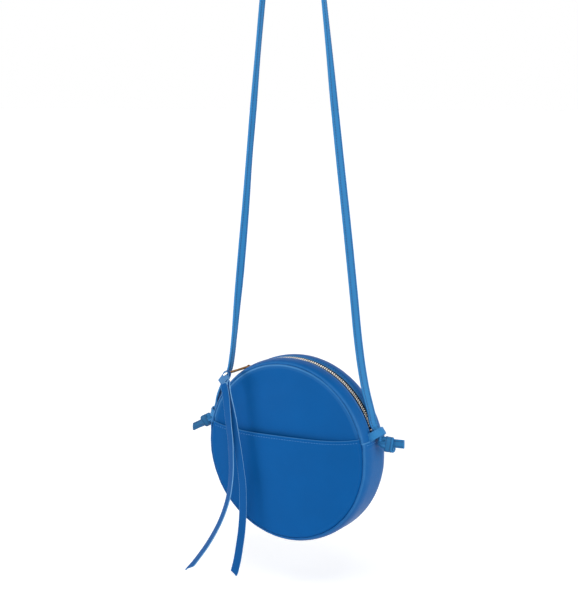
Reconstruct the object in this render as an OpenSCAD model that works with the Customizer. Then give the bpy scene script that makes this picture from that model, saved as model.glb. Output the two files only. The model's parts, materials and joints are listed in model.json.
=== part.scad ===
/* [Bag body] */
// Outer radius of the round gusset
bag_r = 95; // [70:1:130]
// Depth of the bag from front seam to back seam
bag_depth = 42.6; // [32:0.2:70]
// How far the two seams lie in from the gusset's outer radius
seam_drop = 4.5; // [2:0.5:8]
// Width of the flat middle of the gusset, before it rolls in to the seams
gusset_flat = 18; // [14:0.5:24]
// Thickness of the panel and gusset leather
leather_t = 1.6; // [1:0.1:2.2]
// Thickness of the folded leather beside the zip
zip_fold_t = 2; // [1.6:0.1:2.4]
// How far the round panels bulge at their middle
panel_dome = 3; // [1:0.5:8]
// Clear gap between layers that are sewn together
layer_gap = 0.15; // [0.1:0.05:0.3]

/* [Pocket] */
// Thickness of the pocket leather
pocket_t = 1.4; // [1:0.1:2]
// Height of the pocket's top corners above the bag's centre
pocket_top = 22.2; // [0:1:50]
// How far the pocket's top edge dips at its middle
pocket_dip = 6.8; // [0:0.2:15]

/* [Lining] */
// Thickness of the stiffening board behind each panel
board_t = 0.8; // [0.5:0.1:1.5]
// Gap between the edge of a board and the seam
board_inset = 6; // [3:0.5:12]
// Thickness of the fabric lining
lining_t = 0.5; // [0.3:0.1:0.8]
// Gap between the edge of a lining and the seam
lining_inset = 3; // [2:0.5:6]

/* [Zip] */
// Angle from the top of the bag to each end of the zip
zip_half_angle = 72.5; // [50:0.5:74]
// Angle from the top to the edge of the lower gusset
gusset_end_angle = 77; // [76:0.5:80]
// Angle left open between the two gussets at their join
join_gap_angle = 0.15; // [0.1:0.05:0.3]
// Width of the slot that shows the zip
zip_window = 9.5; // [9:0.1:13]
// Thickness of the zip tape
tape_t = 0.5; // [0.3:0.1:0.8]
// Length of a tooth along the zip
tooth_l = 1.2; // [0.8:0.1:1.6]
// Width of a tooth across the zip
tooth_w = 1.6; // [1.2:0.1:2.2]
// Height of a tooth
tooth_h = 2; // [1.6:0.1:2.4]
// Distance from one tooth to the next on one tape
tooth_pitch = 2.4; // [2:0.1:3.5]
// Length of a zip stop along the zip
stop_l = 2.4; // [1.5:0.1:4]

/* [Zip slider] */
// Angle of the slider from the top of the bag
slider_angle = -36; // [-45:1:45]
// Length of the slider along the zip
slider_l = 8.5; // [6:0.5:11]
// Width of the slider across the zip
slider_w = 7.6; // [6:0.1:8.4]
// Thickness of the slider's upper and lower plates
plate_t = 0.8; // [0.6:0.1:1.2]
// Running clearance between the slider and the teeth
slider_gap = 0.4; // [0.2:0.05:0.5]
// Thickness of the post between the plates
post_t = 0.8; // [0.5:0.1:1.2]
// Length of the post along the zip
post_l = 3; // [2:0.5:5]
// Radius of the wire bridge on the slider
bridge_wire_r = 0.65; // [0.4:0.05:0.9]
// Distance between the bridge's two legs
bridge_span = 5.1; // [4.6:0.1:7]

/* [Zip puller] */
// Clearance between the puller's eye and the bridge
eye_gap = 0.4; // [0.2:0.05:0.6]
// Wall of the puller's eye
eye_wall = 0.65; // [0.5:0.05:1]
// Width of the puller's eye along the bridge
eye_w = 2.8; // [2:0.1:3.2]
// Length of the flat bar from the bridge to its neck
bar_l = 36.8; // [25:0.2:50]
// Width of the flat bar
bar_w = 3.6; // [2.5:0.1:5]
// Thickness of the flat bar
bar_t = 2; // [1.2:0.1:2.4]
// Radius of the round neck that carries the lace
neck_r = 1.2; // [0.8:0.1:1.6]
// Length of the neck
neck_l = 5; // [4:0.1:7]
// Width of the cross end that keeps the lace on
cross_w = 6.4; // [5:0.1:8]
// Length of the cross end
cross_l = 1.5; // [1:0.1:2.5]

/* [Lace tassel] */
// Width of the leather lace
lace_w = 7; // [4:0.5:9]
// Thickness of the leather lace
lace_t = 1.3; // [0.8:0.1:2]
// Width of the lace where it is gathered round the neck
loop_w = 4.2; // [3:0.1:4.8]
// Clearance between the lace loop and the neck
loop_gap = 0.8; // [0.4:0.1:1]
// Length of the knot's crossing turn
knot_l = 13.5; // [10:0.5:18]
// Thickness of the knot from front to back
knot_t = 6; // [4:0.5:9]
// Lean of the knot's crossing turn
knot_lean = 42; // [20:1:60]

/* [Shoulder strap] */
// Height of the strap's top bend above the bag's centre
hang_height = 600; // [590:1:640]
// Width of the strap
strap_w = 8.5; // [6:0.5:12]
// Thickness of the strap
strap_t = 2.3; // [1.5:0.1:3]
// Inner radius of the strap's top bend
bend_inner_r = 18.85; // [12:0.05:30]
// Lean of each strand where it meets the bend
strand_lean = 6.9; // [4:0.1:9]
// Length of the knot along the strap's end
strap_knot_l = 8.8; // [7:0.1:12]
// Height of the knot
strap_knot_h = 16.4; // [12:0.2:20]
// Thickness of the knot from front to back
strap_knot_t = 10; // [8:0.2:14]
// Length of the strap's end past the knot
strap_end_l = 11.2; // [6:0.2:20]
// Droop of the left knot below the level
left_knot_droop = 28; // [0:1:40]

/* [Side loops] */
// Height of the loops' feet above the bag's centre
loop_z = 24.5; // [22:0.5:26]
// Height of the leather band that makes a loop
loop_h = 8; // [6:0.5:10]
// Thickness of the loop's leather
loop_t = 1.8; // [1.2:0.1:2.2]
// Outer radius of the loop's arch
loop_r = 11.5; // [11:0.5:14]
// Upward lean of the right loop
right_loop_lean = 35; // [10:1:40]
// Upward lean of the left loop
left_loop_lean = 12; // [5:1:40]

/* [Hidden] */
$fn = 72;

LEATHER = "#0d5ca3";
STRAP_LEATHER = "#2a6fb0";
BOARD = "#b9a58a";
LINING = "#3b3b44";
TAPE = "#16161a";
BRASS = "#c9a661";

// One length by which every cut runs past what it cuts
overrun = 1;

// Gap between a loop and what hangs in it
seat_gap = 0.4;

// Half of the depth, and the radius at which the panels end inside the gusset
half_depth = bag_depth / 2;
seam_r = bag_r - seam_drop;
panel_r = seam_r - leather_t - layer_gap;

// The layers at the front and the back, each as the distance of its rim from the middle
pocket_face = half_depth;
panel_face = pocket_face - pocket_t - layer_gap;
front_board_face = panel_face - leather_t - layer_gap;
front_lining_face = front_board_face - board_t - layer_gap;
back_board_face = half_depth - leather_t - layer_gap;
back_lining_face = back_board_face - board_t - layer_gap;
board_r = seam_r - board_inset;
lining_r = seam_r - lining_inset;

// Heights of the zip's layers, as radii from the bag's centre
tape_top_r = bag_r - zip_fold_t - layer_gap;
tape_low_r = tape_top_r - tape_t;
tooth_mid_r = (tape_top_r + tape_low_r) / 2;
tooth_top_r = tooth_mid_r + tooth_h / 2;
tooth_low_r = tooth_mid_r - tooth_h / 2;
facing_top_r = tape_low_r - layer_gap;

// The two rows of teeth leave a path for the slider's post
row_gap = post_t + 2 * slider_gap;
tape_edge = row_gap / 2 + tooth_w + layer_gap / 3;
tape_outer = (gusset_flat - layer_gap) / 2;
teeth_half_angle = zip_half_angle - angle_of(stop_l + tooth_pitch, tooth_mid_r);
tooth_count = floor(2 * teeth_half_angle / angle_of(tooth_pitch, tooth_mid_r));

// The slider's plates, its bridge and the puller's eye
upper_plate_r = tooth_top_r + slider_gap;
plate_top_r = upper_plate_r + plate_t;
lower_plate_r = tooth_low_r - slider_gap;
eye_r = bridge_wire_r + eye_gap + eye_wall;
bridge_r = plate_top_r + slider_gap + eye_r;

// The lace hangs from the puller's neck, in front of the bag
neck_y = -(bar_l + neck_l / 2);
neck_x = bridge_r * sin(slider_angle);
neck_z = bridge_r * cos(slider_angle);
loop_inner_r = neck_r + loop_gap;
loop_outer_r = loop_inner_r + lace_t;
loop_hang = loop_gap - seat_gap;

// The strap's top bend
bend_r = bend_inner_r + strap_t / 2;
bend_z = hang_height - bend_inner_r;
strand_top_x = bend_r * cos(strand_lean);
strand_top_z = bend_z - bend_r * sin(strand_lean);

// The knots lie just outside the side loops
loop_centre_x = sqrt(bag_r * bag_r - loop_z * loop_z) + layer_gap;
right_knot_x = loop_reach(right_loop_lean) + 2 * seat_gap;
left_knot_x = loop_reach(left_loop_lean) + strap_t;
knot_low_share = 0.42;

// Heights of the knots, from the feet of the loops down
right_knot_z = loop_z - loop_h;
left_knot_z = right_knot_z - strap_t / 2;

// The strap's route in three stretches, each row with its turn of the strap's width: from
// the knot's mouth to its seat in the loop, as shares of that step; from the seat out of
// the loop, as shares of the loop's radius; and from there to the bend, as shares of the
// way out from the bend and the way up
right_turn_shares = [[-0.4, 0, 0], [0.35, 0.03, 0], [0.75, 0.13, 0], [0.98, 0.34, 0],
    [1.02, 0.62, 0], [1, 1, 0]];
right_pass_shares = [[-0.13, 0.19, 4], [-0.36, 0.4, 12], [-0.64, 0.63, 20]];
right_rise_shares = [[0.937, 0.0275, 30], [0.855, 0.066, 30], [0.795, 0.104, 30],
    [0.749, 0.15, 30], [0.681, 0.242, 27], [0.591, 0.343, 21], [0.459, 0.489, 10],
    [0.294, 0.672, 0], [0.21, 0.764, -5], [0.103, 0.883, -6], [0, 1, 0]];
left_turn_shares = [[-0.3, -0.12, 0], [0.3, 0.1, 0], [0.62, 0.26, 0], [0.88, 0.52, 0],
    [1, 0.8, 0], [1, 1, 0]];
left_pass_shares = [[-0.06, 0.3, 0], [-0.14, 0.68, 0], [-0.24, 0.95, 0]];
left_rise_shares = [[0.949, 0.018, 0], [0.887, 0.042, 0], [0.828, 0.068, 0], [0.766, 0.101, 0],
    [0.712, 0.141, 0], [0.663, 0.205, 0], [0.586, 0.31, 0], [0.433, 0.489, 0],
    [0.277, 0.672, 0], [0.199, 0.764, 0], [0.097, 0.883, 0], [0, 1, 0]];

// Routes of the two lace tails down from the neck that they hang on, as place and turn of
// the lace's width
left_tail_route = [[-3, -2, -9, 0], [-2.5, -2, -12.5, 20], [-0.5, -2, -22.5, 20],
    [1, -2, -36.5, 10], [2.5, -2, -52.5, 0], [4.5, -2, -69.5, -8], [5, -2, -85.5, -14],
    [5, -2, -100.5, -18], [3.5, -2, -114.5, -20], [0.5, -2, -128.5, -20],
    [-4.5, -2, -142.5, -18], [-11.5, -2, -156.5, -14], [-20.5, -2, -170.5, -10],
    [-30.5, -2, -185.5, -6], [-39.5, -2, -199.5, -2], [-48, -2, -211.5, 0],
    [-55.5, -2, -221.5, 0]];
right_tail_route = [[-1.5, 2, -8, 0], [-0.5, 2, -12.5, -20], [1, 2, -22.5, -20],
    [3.5, 2, -34.5, -12], [6, 2, -47.5, 0], [8.5, 2, -63.5, 10], [11.5, 2, -81.5, 18],
    [14, 2, -98.5, 24], [16, 2, -115.5, 26], [16.5, 2, -132.5, 26], [16.5, 2, -149.5, 22],
    [15, 2, -165.5, 16], [12.5, 2, -180.5, 10], [9.5, 2, -196.5, 4], [4.5, 2, -214.5, 0]];

// The angle in degrees of an arc's length on a radius
function angle_of(arc, radius) = arc / radius * 180 / PI;

// The gusset's outer line from its flat middle, u = 0, round to the seam, u = 90, as
// radius and distance from the middle
function roll(u) = [seam_r + (bag_r - seam_r) * cos(u),
    gusset_flat / 2 + (half_depth - gusset_flat / 2) * sin(u)];

// A point of the pocket's top edge
function pocket_edge(x) = pocket_top - pocket_dip * (1 - pow(abs(x) / panel_r, 4));

// A point in the middle of a side loop's band, as distance out from the bag's middle
// plane and height: a distance from the loop's centre, and a height up the band
function loop_point(lean, out, up) = [loop_centre_x + out * cos(lean) - up * sin(lean),
    loop_z + out * sin(lean) + up * cos(lean)];

// How far a side loop stands out from the bag's middle plane
function loop_reach(lean) = loop_point(lean, loop_r, -loop_h / 2)[0];

// Where the strap lies against the inside of its loop
function strap_seat(lean) =
    loop_point(lean, sqrt(pow(loop_r - loop_t, 2) - pow(strap_w / 2, 2)) - seat_gap - strap_t / 2,
        -loop_h / 2);

function unit(v) = v / norm(v);

// Direction of a route at one of its points
function heading(p, i) = unit(p[min(i + 1, len(p) - 1)] - p[max(i - 1, 0)]);

// A flat band swept along points: each ring has its width along a given direction
module band(points, widths, w, t) {
    n = len(points);
    c = t / 4;
    section = [[w / 2, t / 2 - c], [w / 2 - c, t / 2], [c - w / 2, t / 2], [-w / 2, t / 2 - c],
        [-w / 2, c - t / 2], [c - w / 2, -t / 2], [w / 2 - c, -t / 2], [w / 2, c - t / 2]];
    m = len(section);
    rings = [for (i = [0:n - 1])
        let (along = heading(points, i),
            across = unit(widths[i] - along * (widths[i] * along)),
            out = cross(along, across))
        for (s = section) points[i] + across * s[0] + out * s[1]];
    sides = [for (i = [0:n - 2]) for (k = [0:m - 1])
        let (a = i * m + k, b = i * m + (k + 1) % m)
        for (f = [[a, b + m, b], [a, a + m, b + m]]) f];
    caps = [[for (k = [0:m - 1]) k], [for (k = [0:m - 1]) n * m - 1 - k]];
    polyhedron(rings, concat(sides, caps), convexity = 4);
}

// Puts what is drawn round the bag's centre at the end of the hanging strap
module at_bag() {
    translate([0, 0, -hang_height])
        children();
}

// Turns a profile of radius and distance to the front round the bag's axis, from one
// angle above the +X side to another
module around_bag(from, to) {
    rotate([90, 0, 0])
        rotate([0, 0, from])
            rotate_extrude(angle = to - from, $fn = 180)
                children();
}

// Leather, board or cloth of even thickness that bulges at its middle
module domed_disc(rim, radius, thickness) {
    steps = 8;
    outer = [for (i = [0:steps])
        [radius * i / steps, rim + panel_dome * (1 - pow(radius / panel_r * i / steps, 2))]];
    inner = [for (i = [0:steps])
        [outer[steps - i][0], outer[steps - i][1] - thickness]];
    around_bag(0, 360)
        polygon(concat(outer, inner));
}

// The section of a gusset half beside the zip, which thins from its fold to its seam
module zip_gusset_section() {
    steps = 6;
    outer = concat([[bag_r, layer_gap / 2]], [for (i = [0:steps]) roll(90 * i / steps)]);
    last = len(outer) - 1;
    inner = [for (i = [last:-1:0])
        let (thin_share = max(i - 1, 0) / steps)
        outer[i] - [zip_fold_t + (leather_t - zip_fold_t) * thin_share, 0]];
    polygon(concat(outer, inner));
}

// A gusset's section across both sides, as far round its roll as an angle
module full_gusset_section(inset, thickness, end_angle) {
    steps = 6;
    half = [for (i = [0:steps]) roll(end_angle * i / steps) - [inset, 0]];
    outer = concat([for (i = [steps:-1:0]) [half[i][0], -half[i][1]]], half);
    inner = [for (i = [len(outer) - 1:-1:0]) outer[i] - [thickness, 0]];
    polygon(concat(outer, inner));
}

module front_panel() {
    color(LEATHER) at_bag()
        domed_disc(panel_face, panel_r, leather_t);
}

module front_pocket() {
    steps = 16;
    edge = [for (i = [-steps:steps])
        [panel_r * i / steps, pocket_edge(panel_r * i / steps)]];
    below = [[bag_r, pocket_top], [bag_r, -bag_r], [-bag_r, -bag_r], [-bag_r, pocket_top]];
    color(LEATHER) at_bag()
        intersection() {
            domed_disc(pocket_face, panel_r, pocket_t);
            rotate([90, 0, 0])
                linear_extrude(height = bag_depth)
                    polygon(concat(edge, below));
        }
}

module back_panel() {
    color(LEATHER) at_bag()
        mirror([0, 1, 0])
            domed_disc(half_depth, panel_r, leather_t);
}

module lower_gusset() {
    color(LEATHER) at_bag()
        around_bag(90 + gusset_end_angle, 450 - gusset_end_angle)
            full_gusset_section(0, leather_t, 90);
}

// Half of the gusset above the join, cut away along the zip
module zip_gusset(side) {
    reach = gusset_end_angle - join_gap_angle;
    color(LEATHER) at_bag()
        mirror([0, side < 0 ? 1 : 0, 0])
            difference() {
                around_bag(90 - reach, 90 + reach)
                    zip_gusset_section();
                around_bag(90 - zip_half_angle, 90 + zip_half_angle)
                    translate([bag_r - zip_fold_t - overrun, -overrun])
                        square([zip_fold_t + 2 * overrun, zip_window / 2 + overrun]);
            }
}

module zip_gusset_front() {
    zip_gusset(1);
}

module zip_gusset_back() {
    zip_gusset(-1);
}

module front_board() {
    color(BOARD) at_bag()
        domed_disc(front_board_face, board_r, board_t);
}

module back_board() {
    color(BOARD) at_bag()
        mirror([0, 1, 0])
            domed_disc(back_board_face, board_r, board_t);
}

module front_lining() {
    color(LINING) at_bag()
        domed_disc(front_lining_face, lining_r, lining_t);
}

module back_lining() {
    color(LINING) at_bag()
        mirror([0, 1, 0])
            domed_disc(back_lining_face, lining_r, lining_t);
}

module gusset_lining() {
    color(LINING) at_bag()
        around_bag(90 + gusset_end_angle, 450 - gusset_end_angle)
            full_gusset_section(leather_t + layer_gap, lining_t, 30);
}

module zip_facing(side) {
    color(LINING) at_bag()
        mirror([0, side < 0 ? 1 : 0, 0])
            around_bag(90 - zip_half_angle, 90 + zip_half_angle)
                translate([facing_top_r - lining_t, tape_edge + slider_w / 2])
                    square([lining_t, tape_outer - tape_edge]);
}

module zip_facing_front() {
    zip_facing(1);
}

module zip_facing_back() {
    zip_facing(-1);
}

module zip_tape(side) {
    color(TAPE) at_bag()
        mirror([0, side < 0 ? 1 : 0, 0])
            around_bag(90 - zip_half_angle, 90 + zip_half_angle)
                translate([tape_low_r, tape_edge])
                    square([tape_t, tape_outer - tape_edge]);
}

module zip_tape_front() {
    zip_tape(1);
}

module zip_tape_back() {
    zip_tape(-1);
}

// A row of teeth on the front tape, side = 1, or the back tape, side = -1, set half a
// pitch on from the other row
module zip_teeth(side) {
    step = angle_of(tooth_pitch, tooth_mid_r);
    color(BRASS) at_bag()
        for (i = [0:tooth_count - 1])
            rotate([0, (i - (tooth_count - 1) / 2 + side / 4) * step, 0])
                translate([-tooth_l / 2, side > 0 ? -row_gap / 2 - tooth_w : row_gap / 2, tooth_low_r])
                    cube([tooth_l, tooth_w, tooth_h]);
}

module zip_teeth_front() {
    zip_teeth(1);
}

module zip_teeth_back() {
    zip_teeth(-1);
}

// The closing stops on both tapes and the box at the other end
module zip_stops() {
    at = zip_half_angle - angle_of(stop_l / 2 + layer_gap, tooth_mid_r);
    color(BRASS) at_bag() {
        for (side = [-1, 1])
            rotate([0, -at, 0])
                translate([-stop_l / 2, side > 0 ? row_gap / 2 : -row_gap / 2 - tooth_w, tooth_low_r])
                    cube([stop_l, tooth_w, tooth_h]);
        rotate([0, at, 0])
            translate([-stop_l / 2, -row_gap / 2 - tooth_w, tooth_low_r])
                cube([stop_l, row_gap + 2 * tooth_w, tooth_h]);
    }
}

// A leather band that arches out from the gusset and is sewn in at both feet
module side_loop(side, lean) {
    color(LEATHER) at_bag()
        mirror([side < 0 ? 1 : 0, 0, 0])
            difference() {
                translate([loop_centre_x, 0, loop_z])
                    rotate([0, -lean, 0]) {
                        rotate([0, 0, -90])
                            rotate_extrude(angle = 180)
                                translate([loop_r - loop_t, -loop_h / 2])
                                    square([loop_t, loop_h]);
                        for (y = [-loop_r, loop_r - loop_t])
                            translate([-loop_h, y, -loop_h / 2])
                                cube([loop_h, loop_t, loop_h]);
                    }
                rotate([90, 0, 0])
                    cylinder(r = bag_r + layer_gap, h = bag_depth, center = true, $fn = 180);
            }
}

module side_loop_left() {
    side_loop(-1, left_loop_lean);
}

module side_loop_right() {
    side_loop(1, right_loop_lean);
}

// Moves what is drawn at the top of the zip to the slider's place
module at_slider() {
    at_bag()
        rotate([0, slider_angle, 0])
            children();
}

module slider_body() {
    color(BRASS) at_slider() {
        for (r = [upper_plate_r, lower_plate_r - plate_t])
            translate([-slider_l / 2, -slider_w / 2, r])
                cube([slider_l, slider_w, plate_t]);
        translate([-post_l / 2, -post_t / 2, lower_plate_r - plate_t / 2])
            cube([post_l, post_t, upper_plate_r - lower_plate_r + plate_t]);
    }
}

// The wire arch that the puller hangs on
module slider_bridge() {
    color(BRASS) at_slider() {
        translate([0, 0, bridge_r])
            rotate([0, 90, 0])
                cylinder(r = bridge_wire_r, h = bridge_span + 2 * bridge_wire_r, center = true, $fn = 24);
        for (x = [-bridge_span / 2, bridge_span / 2])
            translate([x, 0, plate_top_r])
                cylinder(r = bridge_wire_r, h = bridge_r - plate_top_r, $fn = 24);
    }
}

// One brass casting: an eye, a flat bar, a round neck and a cross end
module zip_puller() {
    color(BRASS) at_slider()
        translate([0, 0, bridge_r])
            difference() {
                union() {
                    rotate([0, 90, 0])
                        cylinder(r = eye_r, h = eye_w, center = true, $fn = 48);
                    translate([-eye_w / 2, -eye_r - bar_t, -bar_t / 2])
                        cube([eye_w, eye_r + bar_t, bar_t]);
                    translate([-bar_w / 2, -bar_l, -bar_t / 2])
                        cube([bar_w, bar_l - eye_r - bridge_wire_r, bar_t]);
                    translate([0, -bar_l + overrun, 0])
                        rotate([90, 0, 0])
                            cylinder(r = neck_r, h = neck_l + 2 * overrun, $fn = 32);
                    translate([-cross_w / 2, -bar_l - neck_l - cross_l, -bar_t / 2])
                        cube([cross_w, cross_l, bar_t]);
                }
                rotate([0, 90, 0])
                    cylinder(r = bridge_wire_r + eye_gap, h = eye_w + 2 * overrun, center = true, $fn = 48);
            }
}

// Moves what is drawn round the puller's neck to its place
module at_neck() {
    at_bag()
        translate([neck_x, neck_y, neck_z])
            children();
}

// The loop of lace that hangs on the neck
module lace_loop() {
    color(STRAP_LEATHER) at_neck()
        translate([0, 0, -loop_hang])
            rotate([90, 0, 0])
                difference() {
                    cylinder(r = loop_outer_r, h = loop_w, center = true);
                    cylinder(r = loop_inner_r, h = loop_w + 2 * overrun, center = true);
                }
}

// The turn of lace that crosses over the loop's two ends
module lace_knot() {
    color(STRAP_LEATHER) at_neck()
        difference() {
            translate([-loop_outer_r, 0, -loop_inner_r - lace_w / 2])
                rotate([0, -knot_lean, 0])
                    rotate([0, 90, 0])
                        linear_extrude(height = knot_l, center = true)
                            union() {
                                square([lace_w, knot_t - lace_t], center = true);
                                square([lace_w - lace_t, knot_t], center = true);
                            }
            translate([0, 0, -loop_hang])
                rotate([90, 0, 0])
                    cylinder(r = loop_outer_r + layer_gap, h = 2 * knot_t, center = true);
        }
}

module lace_tail(route) {
    color(STRAP_LEATHER) at_neck()
        band([for (p = route) [p[0], p[1], p[2]]],
            [for (p = route) [cos(p[3]), sin(p[3]), 0]], lace_w, lace_t);
}

module lace_tail_left() {
    lace_tail(left_tail_route);
}

module lace_tail_right() {
    lace_tail(right_tail_route);
}

// One strand of the strap: from its knot through its side loop, and up to the bend
module strand(side, mouth, lean, turn_shares, pass_shares, rise_shares) {
    seat = strap_seat(lean);
    exit = seat + loop_r * [pass_shares[2][0], pass_shares[2][1]];
    top = [strand_top_x, strand_top_z];
    flat = concat(
        [for (s = turn_shares) [mouth[0] + (seat[0] - mouth[0]) * s[0],
            mouth[1] + (seat[1] - mouth[1]) * s[1]]],
        [for (s = pass_shares) seat + loop_r * [s[0], s[1]]],
        [for (s = rise_shares) [top[0] + (exit[0] - top[0]) * s[0],
            exit[1] + (top[1] - exit[1]) * s[1]]]);
    turns = [for (s = concat(turn_shares, pass_shares, rise_shares)) s[2]];
    color(STRAP_LEATHER) at_bag()
        band([for (p = flat) [side * p[0], 0, p[1]]],
            [for (a = turns) [side * sin(a), cos(a), 0]], strap_w, strap_t);
}

module strap_left() {
    strand(-1, [left_knot_x, left_knot_z], left_loop_lean,
        left_turn_shares, left_pass_shares, left_rise_shares);
}

module strap_right() {
    strand(1, [right_knot_x, right_knot_z], right_loop_lean,
        right_turn_shares, right_pass_shares, right_rise_shares);
}

// The bend at the strap's top, which hangs on a shoulder or a hook
module strap_top() {
    color(STRAP_LEATHER) at_bag()
        translate([0, 0, bend_z])
            around_bag(-strand_lean, 180 + strand_lean)
                translate([bend_inner_r, -strap_w / 2])
                    square([strap_t, strap_w]);
}

// Moves what is drawn along +X to the knot on one side, at its droop
module at_knot(side, x, z, droop) {
    at_bag()
        mirror([side < 0 ? 1 : 0, 0, 0])
            translate([x, 0, z])
                rotate([0, droop, 0])
                    children();
}

// The turns of the knot, as one rounded block
module strap_knot(side, x, z, droop) {
    corner = [strap_knot_h / 2 - strap_t, strap_knot_t / 2 - strap_t];
    color(STRAP_LEATHER)
        at_knot(side, x, z, droop)
            translate([0, 0, strap_knot_h * (0.5 - knot_low_share)])
                rotate([0, 90, 0])
                    linear_extrude(height = strap_knot_l)
                        union() {
                            square([strap_knot_h, strap_knot_t - 2 * strap_t], center = true);
                            square([strap_knot_h - 2 * strap_t, strap_knot_t], center = true);
                            for (a = [-1, 1], b = [-1, 1])
                                translate([a * corner[0], b * corner[1]])
                                    circle(r = strap_t, $fn = 24);
                        }
}

module strap_knot_left() {
    strap_knot(-1, left_knot_x, left_knot_z, left_knot_droop);
}

module strap_knot_right() {
    strap_knot(1, right_knot_x, right_knot_z, 0);
}

module strap_end(side, x, z, droop) {
    color(STRAP_LEATHER)
        at_knot(side, x, z, droop)
            translate([strap_knot_l, -strap_t / 2, -strap_w * knot_low_share / 4])
                cube([strap_end_l, strap_t, strap_w]);
}

module strap_end_left() {
    strap_end(-1, left_knot_x, left_knot_z, left_knot_droop);
}

module strap_end_right() {
    strap_end(1, right_knot_x, right_knot_z, 0);
}

front_panel();
front_pocket();
back_panel();
lower_gusset();
zip_gusset_front();
zip_gusset_back();
front_board();
back_board();
front_lining();
back_lining();
gusset_lining();
zip_facing_front();
zip_facing_back();
zip_tape_front();
zip_tape_back();
zip_teeth_front();
zip_teeth_back();
zip_stops();
side_loop_left();
side_loop_right();
slider_body();
slider_bridge();
zip_puller();
lace_loop();
lace_knot();
lace_tail_left();
lace_tail_right();
strap_left();
strap_right();
strap_top();
strap_knot_left();
strap_knot_right();
strap_end_left();
strap_end_right();
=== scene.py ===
import json
import math
import bmesh
import bpy
import numpy as np
from mathutils import Matrix, Vector, noise


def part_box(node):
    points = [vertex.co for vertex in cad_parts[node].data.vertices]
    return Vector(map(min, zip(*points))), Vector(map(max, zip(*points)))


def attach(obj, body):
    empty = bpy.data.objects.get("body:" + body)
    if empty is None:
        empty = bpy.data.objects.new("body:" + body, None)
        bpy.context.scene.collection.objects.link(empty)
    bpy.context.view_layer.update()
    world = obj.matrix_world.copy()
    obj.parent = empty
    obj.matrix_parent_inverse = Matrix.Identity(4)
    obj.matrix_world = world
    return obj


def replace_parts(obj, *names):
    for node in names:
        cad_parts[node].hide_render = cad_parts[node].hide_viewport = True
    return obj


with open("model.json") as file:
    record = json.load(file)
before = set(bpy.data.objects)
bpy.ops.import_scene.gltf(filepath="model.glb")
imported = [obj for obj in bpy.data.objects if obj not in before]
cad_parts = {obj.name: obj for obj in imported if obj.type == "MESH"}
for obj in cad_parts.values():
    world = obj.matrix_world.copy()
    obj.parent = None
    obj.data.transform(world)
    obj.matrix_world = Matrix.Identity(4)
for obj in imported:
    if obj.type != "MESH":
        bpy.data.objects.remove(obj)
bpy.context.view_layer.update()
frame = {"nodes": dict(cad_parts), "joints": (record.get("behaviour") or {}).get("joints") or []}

# The studio: the bag hangs free over a plain white floor, in soft even light. The camera
# stands to its right front, a little above it, as in the photograph.
low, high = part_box("back_panel")
bag_centre = Vector((0, 0, (low[2] + high[2]) / 2))
scene = bpy.context.scene
scene.view_settings.view_transform = "Standard"

camera = bpy.data.objects.new("camera", bpy.data.cameras.new("camera"))
scene.collection.objects.link(camera)
camera.data.lens = 78
camera.data.clip_start = 0.05
camera_place = bag_centre + Vector((0.6816, -1.1035, 0.3609))
camera_turn, camera_dip, camera_roll = (math.radians(a) for a in (31.95, 9.1, -0.38))
camera.matrix_world = (
    Matrix.Translation(camera_place)
    @ Matrix.Rotation(camera_turn, 4, "Z")
    @ Matrix.Rotation(math.pi / 2 - camera_dip, 4, "X")
    @ Matrix.Rotation(camera_roll, 4, "Z")
)
scene.camera = camera


class Socket:
    """A value inside a material. Sums written on it become Math nodes."""

    def __init__(self, finish, link):
        self.finish = finish
        self.link = link

    def sum(self, operation, first, second):
        return self.finish.node("ShaderNodeMath", {"operation": operation}, {0: first, 1: second})

    def __add__(self, other):
        return self.sum("ADD", self, other)

    def __radd__(self, other):
        return self.sum("ADD", other, self)

    def __sub__(self, other):
        return self.sum("SUBTRACT", self, other)

    def __rsub__(self, other):
        return self.sum("SUBTRACT", other, self)

    def __mul__(self, other):
        return self.sum("MULTIPLY", self, other)

    def __rmul__(self, other):
        return self.sum("MULTIPLY", other, self)


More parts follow.
